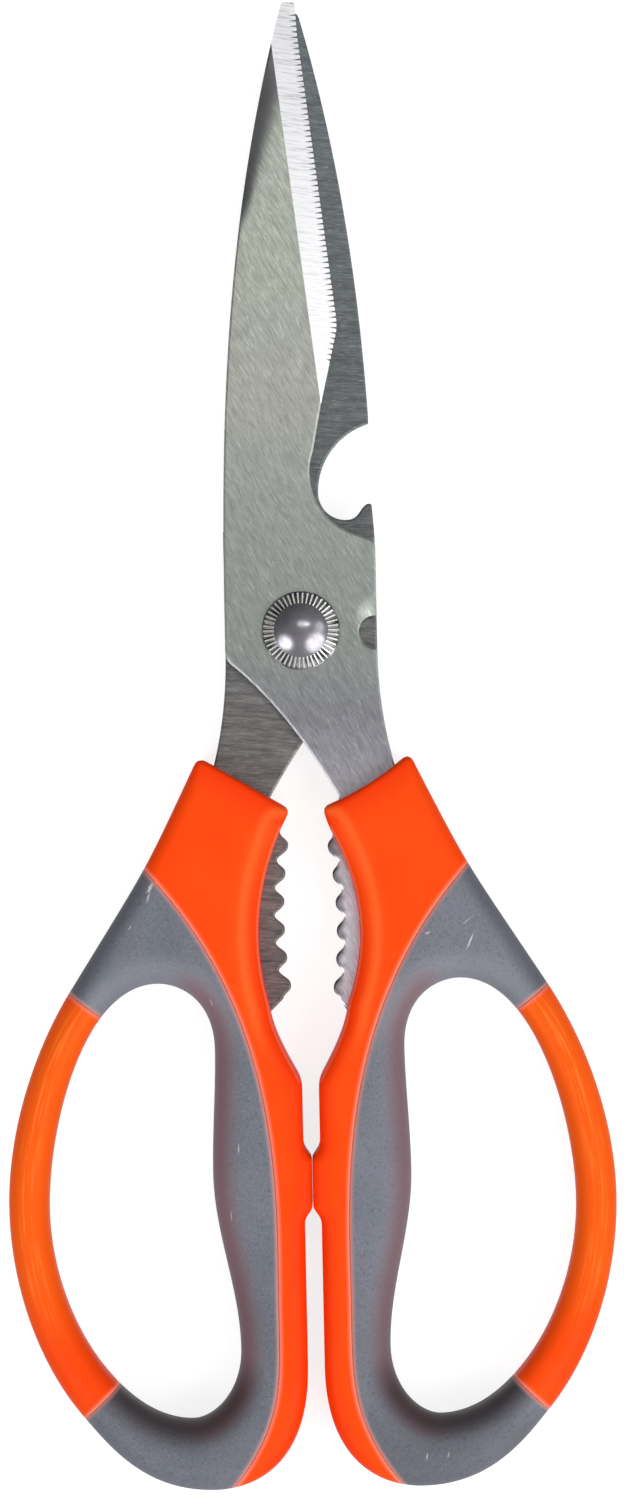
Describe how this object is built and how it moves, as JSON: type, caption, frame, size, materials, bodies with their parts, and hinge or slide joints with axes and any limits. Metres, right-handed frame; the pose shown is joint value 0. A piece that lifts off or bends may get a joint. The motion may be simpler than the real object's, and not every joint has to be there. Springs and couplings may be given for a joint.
{
  "type": "multi-purpose scissors",
  "caption": "Kitchen scissors with a serrated front blade, bottle opener, wire notch, nutcracker teeth and two-tone finger loops, hinged on a domed pivot screw.",
  "frame": {"origin": "centre of the flat back face of the pivot post, on the pivot axis", "axes": "+Z along the pivot axis towards the domed screw, +Y towards the blade tips, +X towards the front blade's handle"},
  "size_m": [0.091, 0.2225, 0.0121],
  "materials": {
    "front_steel": "satin, fine diagonal grinding marks",
    "rear_steel": "satin, fine crosswise grinding marks",
    "polished_steel": "polished",
    "orange_plastic": "satin moulded",
    "grey_rubber": "matte moulded"
  },
  "bodies": {
    "front_half": {"front_blade": "front_steel", "right_handle_frame": "orange_plastic", "right_soft_grip": "grey_rubber", "pivot_screw": "polished_steel", "fluted_washer": "polished_steel", "pivot_post": "polished_steel", "tension_washer": "rear_steel"},
    "rear_half": {"rear_blade": "rear_steel", "left_handle_frame": "orange_plastic", "left_soft_grip": "grey_rubber"}
  },
  "joints": [
    {"name": "blade_pivot", "type": "hinge", "parent": "front_half", "child": "rear_half", "pos_m": [0, 0, 0.00415], "axis": [0, 0, -1], "range_deg": [0, 105]}
  ]
}
